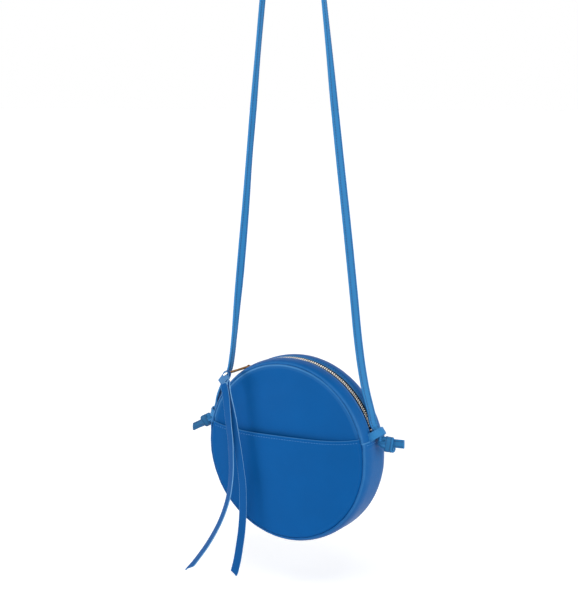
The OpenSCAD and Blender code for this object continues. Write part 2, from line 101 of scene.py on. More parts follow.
class Finish:
    """A material, or the world, and the nodes that vary its colour, gloss and relief."""

    def __init__(self, name, owner=None, shader="Principled BSDF", **constants):
        self.owner = bpy.data.materials.new(name) if owner is None else owner
        self.owner.use_nodes = True
        self.tree = self.owner.node_tree
        self.shader = self.tree.nodes[shader]
        for socket, value in constants.items():
            self.shader.inputs[socket.replace("_", " ")].default_value = value

    def node(self, kind, settings=None, values=None, out=0):
        made = self.tree.nodes.new(kind)
        for key, value in (settings or {}).items():
            if key == "stops":
                for stop, (place, colour) in zip(made.color_ramp.elements, value):
                    stop.position, stop.color = place, colour
            else:
                setattr(made, key, value)
        for key, value in (values or {}).items():
            if isinstance(value, Socket):
                self.tree.links.new(value.link, made.inputs[key])
            else:
                made.inputs[key].default_value = value
        return Socket(self, made.outputs[out])

    def mix(self, share, first, second):
        return self.node("ShaderNodeMix", {"data_type": "RGBA"}, {0: share, 6: first, 7: second}, 2)

    def dimmed(self, colour, share):
        first = colour if isinstance(colour, Socket) else colour[:3]
        return self.node("ShaderNodeVectorMath", {"operation": "SCALE"}, {0: first, "Scale": share})

    def place(self):
        """Where on the piece a point of its surface lies."""
        return self.node("ShaderNodeTexCoord", out="Object")

    def spots(self, place, scale, detail=2.0, bend=0.0):
        """Soft random spots, about that many to a metre."""
        return self.node("ShaderNodeTexNoise", None, {
            "Vector": place, "Scale": scale, "Detail": detail, "Distortion": bend})

    def mark(self, name):
        """What the piece's mesh says under a name, from 0 to 1."""
        return self.node("ShaderNodeAttribute", {"attribute_name": name}, out="Fac")

    def relief(self, height, strength, distance):
        """Bumps where the height changes."""
        return self.node("ShaderNodeBump", None, {
            "Height": height, "Strength": strength, "Distance": distance})

    def seen(self):
        """Above 0 for what the camera, a mirror or a glass sees, and 0 for all other light."""
        ways = ("Is Camera Ray", "Is Glossy Ray", "Is Transmission Ray")
        camera, mirror, glass = (self.node("ShaderNodeLightPath", out=way) for way in ways)
        return camera + mirror + glass

    def feed(self, **sockets):
        for name, value in sockets.items():
            self.tree.links.new(value.link, self.shader.inputs[name.replace("_", " ")])
        return self.owner

    def plain(self):
        """What the shader gives alone."""
        return Socket(self, self.shader.outputs[0])

    def show(self, surface, output):
        """The output shows the surface in place of the shader alone."""
        self.tree.links.new(surface.link, self.tree.nodes[output].inputs[0])


# The floor and the air round it are plain white. Only what the camera, a mirror or a
# glass sees of them is lifted to white, so that the light on the bag stays soft.
floor_drop, floor_side, floor_lift = 0.151, 60.0, 0.44
bpy.ops.mesh.primitive_plane_add(size=floor_side, location=bag_centre - Vector((0, 0, floor_drop)))
floor = bpy.context.object
floor.name = "floor"
floor_white = Finish("floor_white", Roughness=0.9, Base_Color=(0.9, 0.9, 0.91, 1))
floor_glow = floor_white.node("ShaderNodeEmission", None, {"Strength": floor_white.seen() * floor_lift})
floor_both = floor_white.node("ShaderNodeAddShader", None, {0: floor_white.plain(), 1: floor_glow})
floor_white.show(floor_both, "Material Output")
floor.data.materials.append(floor_white.owner)

sky = Finish("studio", bpy.data.worlds.new("studio"), "Background",
             Color=(0.96, 0.98, 1, 1), Strength=0.4)
sky_white = sky.node("ShaderNodeBackground", None, {"Color": (1, 1, 1, 1)})
sky_both = sky.node("ShaderNodeMixShader", None, {0: sky.seen(), 1: sky.plain(), 2: sky_white})
sky.show(sky_both, "World Output")
scene.world = sky.owner

# Each lamp's kind, its place from the bag's centre, its angle or size, and its power
lamps = {
    "high": ("SUN", (0.45, -0.72, 1.15), 0.45, 0.62),
    "side": ("SUN", (0.95, -0.22, 0.22), 0.9, 1.55),
    "near": ("AREA", (-0.75, -0.75, 0.3), 0.45, 4.2),
}
for name, (kind, place, size, power) in lamps.items():
    lamp = bpy.data.objects.new(name, bpy.data.lights.new(name, kind))
    scene.collection.objects.link(lamp)
    if kind == "SUN":
        lamp.data.angle = size
    else:
        lamp.data.size = size
    lamp.data.energy = power
    lamp.location = bag_centre + Vector(place)
    lamp.rotation_euler = (bag_centre - lamp.location).to_track_quat("-Z", "Y").to_euler()


# The lace tassel hangs on the zip puller. It is one narrow strip of the bag's leather,
# cut, not folded, so its thin edges show a paler blue. Its two tails are of free length.
lace_width = 0.007
lace_thick = 0.0013
lace_face = (0.004, 0.098, 0.33, 1)
lace_edge = (0.19, 0.43, 0.71, 1)
mm = 0.001


def joint_place(name):
    """Where a joint's axis lies."""
    return Vector(next(joint for joint in frame["joints"] if joint["name"] == name)["pos_m"])


neck = joint_place("tassel_swing")


def leather(name, face, edge, grain, gloss, shine=0.12):
    """Smooth dyed leather: fine pebbles and pores, soft clouds of colour, a paler cut edge, painted shade
    where it is marked deep, and painted highlight where it is marked paler.
    """
    finish = Finish(name, Roughness=gloss, Specular_IOR_Level=shine)
    place = finish.place()
    cloud = finish.spots(place, 28.0, 3.0)
    crease = finish.spots(place, 160.0, 5.0, 0.6)
    pebble = finish.node("ShaderNodeTexVoronoi", {"feature": "DISTANCE_TO_EDGE"},
                         {"Vector": place, "Scale": grain})
    pore = finish.spots(place, grain * 3)
    cut, worn, deep = (finish.mark(mark) for mark in ("cut", "worn", "deep"))
    # The deep mark darkens the colour as painted shade. The other mark mixes it towards the paler edge
    # blue, mostly as painted highlight and sheen, and also where the leather is stretched.
    tone = (0.88 + cloud * 0.16 + pebble * 0.12) * (1 - deep * 0.5)
    lit = finish.mix(worn * (0.55 + crease * 0.5), finish.dimmed(face, tone),
                     finish.dimmed(edge, 0.75 + pore * 0.3))
    colour = finish.mix(cut, lit, finish.dimmed(edge, 0.8 + pore * 0.35))
    relief = finish.relief(pebble * 0.5 + pore * 0.25 + crease * 1.2, 0.22, 0.0005)
    return finish.feed(Base_Color=colour, Roughness=gloss + (cloud - 0.5) * 0.14 + cut * 0.16,
                       Normal=relief)


def skinned(name, points, faces, material, **marks):
    """A smooth mesh of points and faces, with its normals outwards and its marks on the points."""
    mesh = bpy.data.meshes.new(name)
    mesh.from_pydata([tuple(p) for p in points], [], [tuple(f) for f in faces])
    for mark, values in marks.items():
        layer = mesh.attributes.new(mark, "FLOAT", "POINT")
        layer.data.foreach_set("value", np.ravel(values).astype(float))
    work = bmesh.new()
    work.from_mesh(mesh)
    bmesh.ops.recalc_face_normals(work, faces=work.faces)
    work.to_mesh(mesh)
    work.free()
    mesh.polygons.foreach_set("use_smooth", [True] * len(mesh.polygons))
    mesh.set_sharp_from_angle(angle=math.radians(55))
    mesh.materials.append(material)
    piece = bpy.data.objects.new(name, mesh)
    scene.collection.objects.link(piece)
    return piece


def woven(rows, round_rows=False):
    """The quads of a grid whose rows each close on themselves. Its two ends are flat, unless
    round_rows says that the rows close into a ring too."""
    n, m = len(rows), len(rows[0])
    last = n if round_rows else n - 1
    faces = [(i * m + k, i * m + (k + 1) % m, (i + 1) % n * m + (k + 1) % m, (i + 1) % n * m + k)
             for i in range(last) for k in range(m)]
    if not round_rows:
        faces += [range(m), range((n - 1) * m, n * m)]
    return faces


def strides(line):
    """The distances between the places of a line, one after another."""
    return np.linalg.norm(np.diff(line[:, :3], axis=0), axis=1)


def eased(points, step):
    """A smooth line through the points, with a place every step along it."""
    points = np.asarray(points, float)
    reach = np.r_[0, np.cumsum(strides(points))]
    slope = np.gradient(points, reach, axis=0)
    at = np.linspace(0, reach[-1], max(2, round(reach[-1] / step)) + 1)
    i = np.clip(np.searchsorted(reach, at, side="right") - 1, 0, len(reach) - 2)
    gap = (reach[i + 1] - reach[i])[:, None]
    t = (at[:, None] - reach[i][:, None]) / gap
    return ((2 * t**3 - 3 * t**2 + 1) * points[i] + (t**3 - 2 * t**2 + t) * gap * slope[i]
            + (3 * t**2 - 2 * t**3) * points[i + 1] + (t**3 - t**2) * gap * slope[i + 1])


def bell(x, wide):
    """A soft hump: 1 where x is 0, and next to nothing two widths away."""
    return np.exp(-((x / wide) ** 2))


channel_wide, channel_deep = 0.0004, 0.00014


def strip_section(width, thick, crown=0.0, channel=0.0):
    """Round a leather strip: places, how far each is on a cut edge, and how much painted shade it gets
    down in the channel of a row of stitches. channel is how far that runs from each edge, or 0 for none."""
    soft = thick * 0.3
    flat = width / 2 - soft
    across = np.linspace(-flat, flat, 9)
    line = width / 2 - channel
    if channel:
        middle = np.linspace(-0.7, 0.7, 5) * line
        dips = np.outer([-1, 1], line + channel_wide * np.array([-2, -1, 0, 1, 2]))
        across = np.sort(np.r_[middle, dips.ravel(), -flat, flat])
    sunk = bell(abs(across) - line, channel_wide) * bool(channel)
    # The last value of each place is painted shade: the leather is darkened down in the stitch channel.
    top = [(u, thick / 2 + crown * (1 - (u / flat) ** 2) - channel_deep * d, 0, 0.45 * d)
           for u, d in zip(across, sunk)]
    bevel_out, bevel_up = width / 2 - soft * 0.25, thick / 2 - soft * 0.3
    side = [(bevel_out, bevel_up, 0.7, 0), (width / 2, thick / 2 - soft, 1, 0),
            (width / 2, soft - thick / 2, 1, 0), (bevel_out, -bevel_up, 0.7, 0)]
    half = top + side
    return np.array(half + [(-u, -v, cut, d) for u, v, cut, d in half])


def strip_frame(line, closed=False):
    """The directions across and out of a strip on each place of its line."""
    ring = np.vstack([line[-1:], line, line[:1]]) if closed else line
    along = np.gradient(ring[:, :3], axis=0)
    along = along[1:-1] if closed else along
    along /= np.linalg.norm(along, axis=1)[:, None]
    across = line[:, 3:6] - along * np.sum(line[:, 3:6] * along, axis=1)[:, None]
    across /= np.linalg.norm(across, axis=1)[:, None]
    return across, np.cross(along, across)


def strip(name, line, section, material, body, slot, closed=False, slant=0.0, swell=1.0,
          rub_and_glint=0.0, painted_shade=0.0):
    """A leather strip laid along a line of places and width directions. slant is how far its last cut
    runs back along one edge, or with a minus along the other; swell widens it on each place. Its next
    value paints it paler all over, and its last darkens it all over as painted shade and hides its pale
    cut edges."""
    across, out = strip_frame(line, closed)
    places = section[:, 0] * (np.zeros(len(line)) + swell)[:, None]
    if slant:
        left = np.r_[strides(line)[::-1].cumsum()[::-1], 0]
        share = np.clip(left / abs(slant), 0.2, 1)[:, None]
        side = np.sign(slant) * section[:, 0].max()
        places = side + (places - side) * share
    rows = line[:, None, :3] + across[:, None] * places[:, :, None] + out[:, None] * section[None, :, 1:2]
    cut = np.tile(section[:, 2], (len(line), 1))
    if not closed:
        cut[0] = cut[-1] = 1
    # Painted shade darkens the whole strip and dims its pale cut edges.
    piece = skinned(name, rows.reshape(-1, 3), woven(rows, closed), material,
                    cut=cut * (1 - painted_shade), worn=np.zeros(cut.shape) + rub_and_glint,
                    deep=np.tile(section[:, 3], (len(line), 1)) + painted_shade)
    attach(piece, body)
    return piece


lace_leather = leather("lace_leather", lace_face, lace_edge, 1500.0, 0.42)
# What each piece of lace is told: its material, the body it rides on, and its slot
lace_kind = (lace_leather, "tassel", "lace_leather")
lace_section = strip_section(lace_width, lace_thick, 0.0001)
tail_routes = {
    "left": [(-3, -2, -9, 0), (-2.5, -2, -12.5, 20), (-0.5, -2, -22.5, 20), (1, -2, -36.5, 10),
             (2.5, -2, -52.5, 0), (4.5, -2, -69.5, -8), (5, -2, -85.5, -14), (5, -2, -100.5, -18),
             (3.7, -2, -114.5, -21), (1.1, -2, -128.5, -23), (-3.4, -2, -142.5, -26),
             (-9.4, -2, -156.5, -28), (-17, -2, -170.5, -29), (-26.5, -2, -185.5, -29),
             (-36.8, -2, -199.5, -29), (-46.4, -2, -211.5, -28), (-55, -2, -221.5, -26)],
    "right": [(-1.5, 2, -8, 0), (-0.5, 2, -12.5, -20), (1, 2, -22.5, -20), (3.5, 2, -34.5, -12),
              (6, 2, -47.5, 0), (8.5, 2, -63.5, 10), (11.5, 2, -81.5, 18), (14, 2, -98.5, 24),
              (16, 2, -115.5, 26), (16.2, 2, -132.5, 26), (15.6, 2, -149.5, 25), (14, 2, -165.5, 24),
              (11.5, 2, -180.5, 22), (8.4, 2, -196.5, 18), (3.4, 2, -214.5, 14)],
}
tail_slants = {"left": -0.014, "right": 0.0035}
tail_spreads = {"left": 0.0, "right": 0.2}
for side, route in tail_routes.items():
    points = []
    for x, y, z, turn in route:
        turn = math.radians(turn)
        points.append((*(neck + Vector((x, y, z)) * mm), math.cos(turn), math.sin(turn), 0))
    line = eased(points, 0.0012)
    spread = 1 + tail_spreads[side] * np.linspace(-0.8, 1, len(line)).clip(0)
    tail = strip("tail_" + side, line, lace_section, *lace_kind, slant=tail_slants[side],
                 swell=spread)
    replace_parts(tail, "lace_tail_" + side)
    length = float(strides(line).sum())


# The top of the tassel: the lace is folded in half round the puller's neck, and one turn
# of it is drawn tight across the fold, so that the tails drop from under the turn.
ring_radius, ring_width, ring_drop = 0.0031, 0.0042, 0.0007
ring_middle = neck - Vector((0, 0, ring_drop))


def round_angles(count):
    """That many angles, evenly round a circle."""
    return np.linspace(0, 2 * math.pi, count, endpoint=False)


ring_line = np.array([(ring_middle.x + ring_radius * math.sin(a), ring_middle.y,
                       ring_middle.z + ring_radius * math.cos(a), 0, 1, 0)
                      for a in round_angles(40)])
# The ring is painted darker all over: painted shade.
ring = strip("lace_ring", ring_line, strip_section(ring_width, lace_thick), *lace_kind, closed=True,
             painted_shade=0.5)
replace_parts(ring, "lace_loop")

turn_length, turn_depth, turn_twist = 0.0135, 0.006, 0.0006
turn_lean = math.radians(42)
turn_middle = neck + Vector((-0.0033, 0, -0.0055))
turn_way = Vector((math.cos(turn_lean), 0, math.sin(turn_lean)))
turn_side = Vector((-math.sin(turn_lean), 0, math.cos(turn_lean)))


def oval(half_length, half_depth, corner, steps=7):
    """Places round a flat oval, as distance along it and in its depth."""
    places = []
    for quarter, (sx, sy) in enumerate(((1, 1), (-1, 1), (-1, -1), (1, -1))):
        for k in range(steps):
            a = math.pi / 2 * (quarter + k / (steps - 1))
            places.append((sx * (half_length - corner) + corner * math.cos(a),
                           sy * (half_depth - corner) + corner * math.sin(a)))
    return places


turn_line = []
for s, d in oval(turn_length / 2 - lace_thick / 2, turn_depth / 2 - lace_thick / 2, 0.0018):
    twist = turn_side * turn_twist * math.sin(s / turn_length * 5)
    turn_line.append((*(turn_middle + turn_way * s + Vector((0, d, 0)) + twist), *turn_side))
turn = strip("lace_turn", np.array(turn_line), lace_section, *lace_kind, closed=True, rub_and_glint=0.55)
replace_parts(turn, "lace_knot")
core_line = eased([(*(neck + Vector((x, 0, z)) * mm), math.cos(lean), 0, math.sin(lean))
                   for x, z, lean in ((0.5, -3.4, 0.1), (-1.0, -5.5, 0.3), (-2.6, -9.0, 0.3),
                                      (-2.8, -12.0, 0.1))], 0.001)
strip("lace_core", core_line, strip_section(0.0062, 0.0032), *lace_kind)


# The shoulder strap: one long strip of doubled leather with a row of stitches along each
# edge. It runs from the right knot up over the wearer's shoulder and down to the left one.
strap_width, strap_thick = 0.0085, 0.0023
# The strap and its side loops are the bag's leather, painted a lighter blue for the light that falls on
# them: painted light.
strap_face = (0.034, 0.235, 0.54, 1)
strap_edge = (0.05, 0.27, 0.60, 1)
bag_radius = 0.095
hang_height = -bag_centre.z
bend_inner = 0.01885
bend_middle = bend_inner + strap_thick / 2
strand_lean = math.radians(6.9)
loop_radius, loop_thick, loop_height = 0.0115, 0.0018, 0.008
loop_foot_height = 0.0245
loop_leans = {"left": math.radians(12), "right": math.radians(35)}
seat_gap, sewn_gap = 0.0004, 0.00015
loop_start = math.sqrt(bag_radius**2 - loop_foot_height**2) + sewn_gap
side_sign = {"left": -1, "right": 1}


def loop_point(side, out, up):
    """A place in a side loop's band: how far to the side of the bag's centre, and how high over it."""
    lean = loop_leans[side]
    return np.array([loop_start + out * math.cos(lean) - up * math.sin(lean),
                     loop_foot_height + out * math.sin(lean) + up * math.cos(lean)])


knot_mouths = {
    "right": np.array([loop_point("right", loop_radius, -loop_height / 2)[0] + 2 * seat_gap,
                       loop_foot_height - loop_height]),
    "left": np.array([loop_point("left", loop_radius, -loop_height / 2)[0] + strap_thick,
                      loop_foot_height - loop_height - strap_thick / 2]),
}
turn_shares = {
    "right": [(-0.4, 0, 0), (0.35, 0.03, 0), (0.75, 0.13, 0), (0.98, 0.34, 0), (1.02, 0.62, 0),
              (1, 1, 0)],
    "left": [(-0.3, -0.12, 0), (0.3, 0.1, 0), (0.62, 0.26, 0), (0.88, 0.52, 0), (1, 0.8, 0),
             (1, 1, 0)],
}
pass_shares = {
    "right": [(-0.13, 0.19, 4), (-0.36, 0.4, 12), (-0.64, 0.63, 20)],
    "left": [(-0.06, 0.3, 0), (-0.14, 0.68, 0), (-0.24, 0.95, 0)],
}
rise_shares = {
    "right": [(0.937, 0.0275, 30), (0.855, 0.066, 32), (0.795, 0.104, 37), (0.742, 0.15, 40),
              (0.664, 0.242, 40), (0.578, 0.343, 37), (0.446, 0.489, 28), (0.357, 0.59, 20),
              (0.289, 0.672, 6), (0.208, 0.764, -4), (0.103, 0.883, -6), (0, 1, 0)],
    "left": [(0.972, 0.0175, 0), (0.918, 0.0365, 0), (0.848, 0.0545, 0), (0.784, 0.0745, 0),
             (0.746, 0.1, 0), (0.71, 0.135, 0), (0.65, 0.205, -16), (0.605, 0.255, -31),
             (0.559, 0.31, -33), (0.4965, 0.388, -19), (0.423, 0.489, -6), (0.37, 0.555, -10),
             (0.277, 0.672, 2), (0.199, 0.764, 0), (0.097, 0.883, 0), (0, 1, 0)],
}


def strand_points(side):
    """One strand of the strap, from inside its knot to the bend, as places and width directions."""
    inner = math.sqrt((loop_radius - loop_thick) ** 2 - (strap_width / 2) ** 2)
    seat = loop_point(side, inner - seat_gap - strap_thick / 2, -loop_height / 2)
    mouth = knot_mouths[side]
    leave = seat + loop_radius * np.array(pass_shares[side][-1][:2])
    top = np.array([bend_middle * math.cos(strand_lean),
                    hang_height - bend_inner - bend_middle * math.sin(strand_lean)])
    flat = [(*(mouth + (seat - mouth) * s[:2]), s[2]) for s in map(np.array, turn_shares[side])]
    flat += [(*(seat + loop_radius * s[:2]), s[2]) for s in map(np.array, pass_shares[side])]
    flat += [(top[0] + (leave[0] - top[0]) * s[0], leave[1] + (top[1] - leave[1]) * s[1], s[2])
             for s in rise_shares[side]]
    sign = side_sign[side]
    return [(sign * x, 0, z - hang_height, sign * math.sin(math.radians(turn)),
             math.cos(math.radians(turn)), 0) for x, z, turn in flat]


bend_points = [(bend_middle * math.cos(a), 0, bend_middle * math.sin(a) - bend_inner, 0, 1, 0)
               for a in np.linspace(-strand_lean, math.pi + strand_lean, 23)[1:-1]]
strap_points = strand_points("right") + bend_points + strand_points("left")[::-1]
strap_line = eased(strap_points, 0.0025)
strap_leather = leather("strap_leather", strap_face, strap_edge, 1300.0, 0.4)
strap_kind = (strap_leather, "strap", "strap_leather")
stitch_inset = 0.0017
strap_section = strip_section(strap_width, strap_thick, 0.00015, stitch_inset)
strap = strip("shoulder_strap", strap_line, strap_section, *strap_kind)
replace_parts(strap, "strap_left", "strap_right", "strap_top")


def thread(name, tone):
    """Twisted sewing thread, with its ply running round it."""
    finish = Finish(name, Roughness=0.6, Sheen_Weight=0.15)
    ply = finish.spots(finish.place(), 4200.0)
    return finish.feed(Base_Color=finish.dimmed(tone, 0.7 + ply * 0.6),
                       Normal=finish.relief(ply, 0.4, 0.0001))


blue_thread = thread("blue_thread", (0.03, 0.22, 0.55, 1))
strap_thread = thread("strap_thread", (0.004, 0.05, 0.19, 1))
bag_sewing = (blue_thread, "bag", "bag_leather")
strap_sewing = (strap_thread, "strap", "strap_leather")


def gathered(forms, rings=()):
    """The points and faces of one mesh that holds forms made of rows, and rings of them."""
    points, faces = [], []
    for rows, round_rows in [(form, False) for form in forms] + [(ring, True) for ring in rings]:
        faces += [[i + len(points) for i in face] for face in woven(rows, round_rows)]
        points += [point for row in rows for point in row]
    return points, faces


def sewn(name, line, outs, pitch, material, body, slot, long=0.0019, radius=0.00022):
    """A row of stitches along a line. Each is a short rounded length of thread that dips in at its
    ends. Its shape says, for places along it, how thick it is and how far it stands out."""
    line, outs = np.asarray(line, float), np.asarray(outs, float)
    reach = np.r_[0, np.cumsum(strides(line))]
    count = max(1, int(reach[-1] / pitch))
    shape = [(-0.5, 0.45, -1.1), (-0.32, 0.95, 0.1), (0, 1, 0.35), (0.32, 0.95, 0.1), (0.5, 0.45, -1.1)]
    sides = [(math.cos(a), math.sin(a)) for a in round_angles(6)]

    def along_it(values, at):
        return np.array([np.interp(at, reach, values[:, k]) for k in range(3)])

    stitches = []
    for n in range(count):
        at = (n + 0.5) * reach[-1] / count
        start, middle, end = (along_it(line, s) for s in (at - long / 2, at, at + long / 2))
        out = along_it(outs, at)
        way = (end - start) / max(np.linalg.norm(end - start), 1e-9)
        out = out - way * out.dot(way)
        out /= np.linalg.norm(out)
        flat = np.cross(way, out)
        stitches.append([[middle + way * place * long + out * radius * rise
                          + (flat * c * 1.25 + out * s) * radius * swell for c, s in sides]
                         for place, swell, rise in shape])
    piece = skinned(name, *gathered(stitches), material)
    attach(piece, body)


def edge_sewn(name, line, aside, proud, used, *how, faces=(1, -1), closed=False, **sizes):
    """Stitches along both edges of a strip, on its faces, this far aside and proud of its middle.
    used says which places of its line they run past; how and sizes are the rest for sewn."""
    across, out = strip_frame(line, closed)
    rows = [(line[:, :3] + across * edge * aside + out * face * proud, out * face)
            for face in faces for edge in (1, -1)]
    for number, (row, outs) in enumerate(rows):
        sewn("%s_%d" % (name, number), row[used], outs[used], *how, **sizes)


stitch_aside = strap_width / 2 - stitch_inset
stitch_proud = strap_thick / 2 + 0.00008
edge_sewn("strap_stitches", strap_line, stitch_aside, stitch_proud, slice(4, -4), 0.0027,
          *strap_sewing, long=0.0014, radius=0.00032)


# At each side the strap's end is tied round itself outside the loop: one turn stands up
# like a collar, the end comes out of its middle, cut square, and points away from the bag.
knot_length, knot_rise, knot_slant = 0.0088, 0.0013, 0.0009
# Each knot's last value darkens its turn and its end as painted shade: most at the left, which hangs in
# the bag's shadow.
knots = {
    "left": {"height": 0.0126, "depth": 0.0086, "droop": math.radians(28), "end": 0.0170,
             "rise": 0.0008, "twist": 0.6, "fold": 0.72, "painted_shade": 0.85},
    "right": {"height": 0.0152, "depth": 0.0078, "droop": 0.0, "end": 0.0112,
              "rise": 0.0032, "twist": 0.1, "fold": 1.0, "painted_shade": 0.35},
}
# The folds that fill a knot: how high each starts and ends, and how far back it lies
knot_folds = [(0.0070, 0.0060, -0.0018), (0.0026, 0.0036, -0.0030),
              (-0.0012, 0.0012, -0.0022), (0.0036, 0.0046, 0.0022)]
fold_section = strip_section(0.0040, 0.0024, 0.0006)
back = Vector((0, 1, 0))
for side, knot in knots.items():
    sign, droop, tall, deep = side_sign[side], knot["droop"], knot["height"], knot["depth"]
    mouth = Vector((sign * knot_mouths[side][0], 0, knot_mouths[side][1] - hang_height))
    outward = Vector((sign * math.cos(droop), 0, -math.sin(droop)))
    upward = Vector((sign * math.sin(droop), 0, math.cos(droop)))
    middle = mouth + outward * knot_length / 2 + upward * knot_rise

    reach = deep / 2 - strap_thick / 2
    wrap_line = []
    for s, d in oval(tall / 2 - strap_thick / 2, reach, 0.0025):
        slip = outward * knot_slant * math.sin(s / tall * 4) * d / reach
        wide = (outward - upward * 0.10 * d / reach).normalized()
        wrap_line.append((*(middle + upward * s + back * d - slip), *wide))
    wrap_line = np.array(wrap_line)
    wrap = strip("knot_turn_" + side, wrap_line, strap_section, *strap_kind, closed=True,
                 painted_shade=knot["painted_shade"])
    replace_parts(wrap, "strap_knot_" + side)

    fold = knot["fold"]
    core_line = eased([(*(mouth + outward * s + upward * (knot_rise + r)), *upward)
                       for s, r in ((-0.0062 * fold, 0.0018), (-0.003, 0.0006), (0, 0), (0.0091, 0))],
                      0.001)
    core_section = strip_section(tall - 2 * strap_thick + 0.0002, deep - 2 * strap_thick + 0.0002)
    grown = np.interp(np.linspace(0, 1, len(core_line)), (0, 0.42, 0.7, 1), (0.5, 0.8, 1, 1))
    # The core is painted darker, as painted shade deep inside the knot.
    strip("knot_core_" + side, core_line, core_section, *strap_kind, swell=grown, painted_shade=0.45)

    for number, (start, stop, front) in enumerate(knot_folds):
        bends = ((0.003, start * 0.6, front * 0.4), (0, start, front * 0.8),
                 (-0.003, (start + stop) / 2, front), (-0.0064 * fold, stop, front * 0.8))
        fold_line = eased([(*(mouth + outward * s + upward * z * fold + back * y),
                            *(upward + back * 0.5).normalized()) for s, z, y in bends], 0.0008)
        # The folds are painted darker, as painted shade under the knot's turn.
        strip("knot_fold_%s_%d" % (side, number), fold_line, fold_section, *strap_kind, painted_shade=0.5)

    twist = knot["twist"]
    end_line = eased([(*(mouth + outward * s + upward * (knot["rise"] + r) + back * d),
                       *(upward * math.cos(w * twist) + back * math.sin(w * twist)))
                      for s, r, d, w in ((0.004, 0.0, 0, 0.2), (0.0088, 0.0, 0, 0.5),
                                         (0.014, 0.0001, 0.0003, 0.9),
                                         (knot_length + knot["end"], 0.0003, 0.0006, 1))], 0.001)
    end = strip("strap_end_piece_" + side, end_line, strap_section, *strap_kind, painted_shade=knot["painted_shade"])
    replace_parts(end, "strap_end_" + side)
    edge_sewn("end_stitches_" + side, end_line, stitch_aside, stitch_proud, slice(5, None), 0.0028,
              *strap_sewing)
    edge_sewn("turn_stitches_" + side, wrap_line, stitch_aside, stitch_proud, slice(None), 0.0028,
              *strap_sewing, faces=(-1,), closed=True)


# The round body: two panels of firm leather, each sewn into a gusset that rolls over from
# its flat middle to the seam. The panels swell a little and dip into the seam all round.
half_depth, seam_drop, gusset_flat = 0.0213, 0.0045, 0.018
seam_radius = bag_radius - seam_drop
leather_thick, panel_dome = 0.0016, 0.003
pocket_thick = 0.0014
panel_radius = seam_radius - 0.0004
# From a panel's seam inwards: its groove, the ridge beside that, and how far the leather gathers
groove_wide, groove_deep = 0.0016, 0.0011
ridge_in, ridge_wide, ridge_high = 0.0022, 0.0012, 0.0003
gather_wide = 0.009
bag_face = (0.0015, 0.106, 0.362, 1)
bag_edge = (0.10, 0.34, 0.67, 1)
bag_leather = leather("bag_leather", bag_face, bag_edge, 1250.0, 0.4, 0.07)


def soft_dent(point, depth=0.00022, wave=0.028):
    """The slight unevenness of stuffed leather at a place."""
    return depth * noise.noise(Vector(point) / wave)


def near_seam(radius):
    """1 at a panel's seam, and 0 where the seam no longer gathers the leather."""
    return max(0.0, 1 - (panel_radius - radius) / gather_wide)


def pucker(angle, near):
    """How leather gathers along a seam: near is 1 at the seam and 0 away from it."""
    return 0.00024 * near * noise.noise(Vector((math.cos(angle) * 11, math.sin(angle) * 11, 3.7)))


def panel_face(radius, angle):
    """How far a panel's outer face stands out at a place, over the plane of its rim. The seam's groove
    is shallow at the upper left, where the strap pulls it open."""
    swell = panel_dome * (1 - (radius / panel_radius) ** 2)
    rim = max(0.0, 1 - (panel_radius - radius) / groove_wide)
    ridge = bell(panel_radius - radius - ridge_in, ridge_wide)
    groove = 0.6 - 0.4 * math.cos(angle - math.radians(125))
    return swell + ridge_high * ridge - groove_deep * groove * rim**2


pocket_top, pocket_dip = 0.0222, 0.0068
pocket_lift, pocket_tilt = 0.0015, 0.0021
mouth_press, rim_rise = 0.0012, 0.0013


def pocket_edge(x):
    """The height of the pocket's top edge over the bag's centre."""
    share = max(-1.0, min(1.0, x / panel_radius))
    return pocket_top + pocket_lift + pocket_tilt * share - pocket_dip * (1 - share**4)


def mouth_share(x):
    """How freely the pocket's mouth opens along its width: most in the middle, held by the seams."""
    return max(0.0, 1 - (x / (panel_radius * 0.97)) ** 2) * (1 - 0.35 * x / panel_radius)


def behind_mouth(x, z):
    """How far the front panel is pressed in where it runs down behind the pocket."""
    over = z - pocket_edge(x)
    return mouth_press * mouth_share(x) * bell(max(0.0, over + 0.001), 0.0105)


def rim_lift(x, z):
    """How far the front panel's rim comes forward over the pocket, where no second layer lies on it."""
    free = max(0.0, min(1.0, (z - pocket_edge(x) - 0.0005) / 0.006))
    inside = panel_radius - math.hypot(x, z)
    return rim_rise * free**2 * (3 - 2 * free) * bell(inside, 0.013)


def round_panel(name, rim, sign, thick):
    """A domed leather disc at the front, sign -1, or the back, sign 1."""
    rings = np.r_[np.linspace(0.0004, panel_radius - 0.006, 44),
                  np.linspace(panel_radius - 0.0054, panel_radius, 16)]
    angles = round_angles(256)
    outer, inner, shaded = [], [], []
    for r in rings:
        under = rim + panel_dome * (1 - (r / panel_radius) ** 2) - thick
        outer.append([])
        inner.append([])
        for a in angles:
            x, z = r * math.cos(a), r * math.sin(a)
            stand = rim + panel_face(r, a) + soft_dent((x, sign * 5, z)) + pucker(a, near_seam(r))
            stand += (rim_lift(x, z) - behind_mouth(x, z)) if sign < 0 else 0
            outer[-1].append((x, sign * stand, z + bag_centre.z))
            inner[-1].append((x, sign * under, z + bag_centre.z))
            # Just above the pocket's mouth the front panel is painted darker: painted shade.
            over = max(0.0, z - pocket_edge(x))
            shaded.append(0.5 * mouth_share(x) * bell(over, 0.0045) * (sign < 0))
    # A painted highlight runs along the rim, strongest at the upper left, with a fainter painted
    # highlight on the ridge inside it.
    from_rim = panel_radius - rings[:, None]
    catch = 0.5 + 0.5 * np.cos(angles - math.radians(115))
    worn = 0.95 * bell(from_rim - 0.0007, 0.0009) * catch**1.5 + 0.16 * bell(from_rim - 0.003, 0.0012)
    bare = np.zeros(worn.size)
    piece = skinned(name, *gathered([outer + inner[::-1]]), bag_leather, cut=np.r_[bare, bare],
                    worn=np.r_[worn.ravel(), bare], deep=np.r_[shaded, bare])
    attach(piece, "bag")
    return piece


